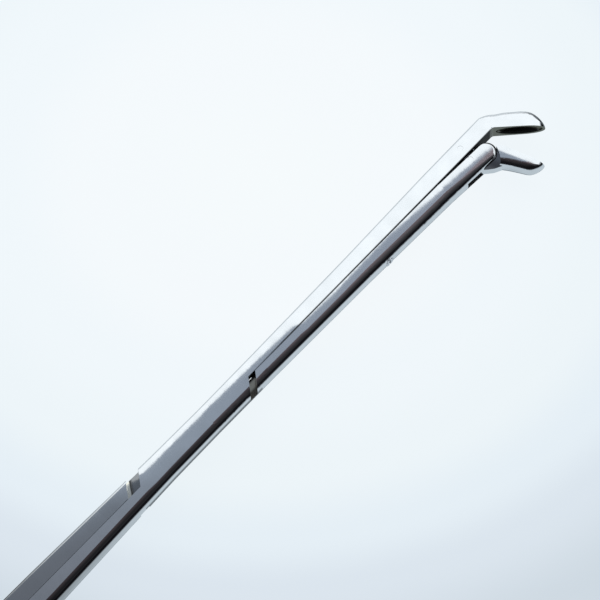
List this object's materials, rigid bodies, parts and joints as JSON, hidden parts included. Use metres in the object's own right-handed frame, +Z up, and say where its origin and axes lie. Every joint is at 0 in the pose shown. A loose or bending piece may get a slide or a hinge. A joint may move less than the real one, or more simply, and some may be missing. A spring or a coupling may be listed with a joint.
{
  "type": "nasal forceps",
  "caption": "Steel nasal forceps: slim sliding shaft with a half-lap crossing, upturned cup jaws and ring handles that close the movable jaw.",
  "frame": {"origin": "middle of the footprint of the object lying on its side, at the surface it lies on", "axes": "+X along the shaft towards the jaws, +Y towards the ring handles, +Z up from the surface; the jaws bend towards -Y"},
  "size_m": [0.1736, 0.0966, 0.005],
  "materials": {
    "polished_steel": "mirror-polished stainless steel with fine wipe marks",
    "pin_steel": "turned stainless steel, polished flush"
  },
  "bodies": {
    "root": {"fixed_shaft": "polished_steel", "rear_handle": "polished_steel", "jaw_pivot_pin": "pin_steel", "lap_screw": "pin_steel", "handle_pivot_screw": "pin_steel", "tang_rivet_front": "pin_steel", "tang_rivet_rear": "pin_steel"},
    "slider": {"sliding_shaft": "polished_steel", "jaw_link_pin": "pin_steel", "guide_screw": "pin_steel", "guide_shoe": "pin_steel", "drive_pin": "pin_steel"},
    "jaw": {"movable_jaw": "polished_steel"},
    "finger_limb": {"front_handle": "polished_steel"}
  },
  "joints": [
    {"name": "front_handle_turn", "type": "hinge", "parent": "root", "child": "finger_limb", "pos_m": [-0.03533, -0.0292, 0.0025], "axis": [0, 0, 1], "range_deg": [-4.2, 8.4]},
    {"name": "shaft_slide", "type": "slide", "parent": "root", "child": "slider", "axis": [1, 0, 0], "range_m": [-0.00059, 0.00117]},
    {"name": "jaw_turn", "type": "hinge", "parent": "root", "child": "jaw", "pos_m": [0.07477, -0.03735, 0.0025], "axis": [0, 0, 1], "range_deg": [-14, 28]}
  ],
  "couplings": [
    {"joint": "shaft_slide", "follows": "front_handle_turn", "m_per_rad": 0.008},
    {"joint": "jaw_turn", "follows": "front_handle_turn", "ratio": 3.3292}
  ]
}
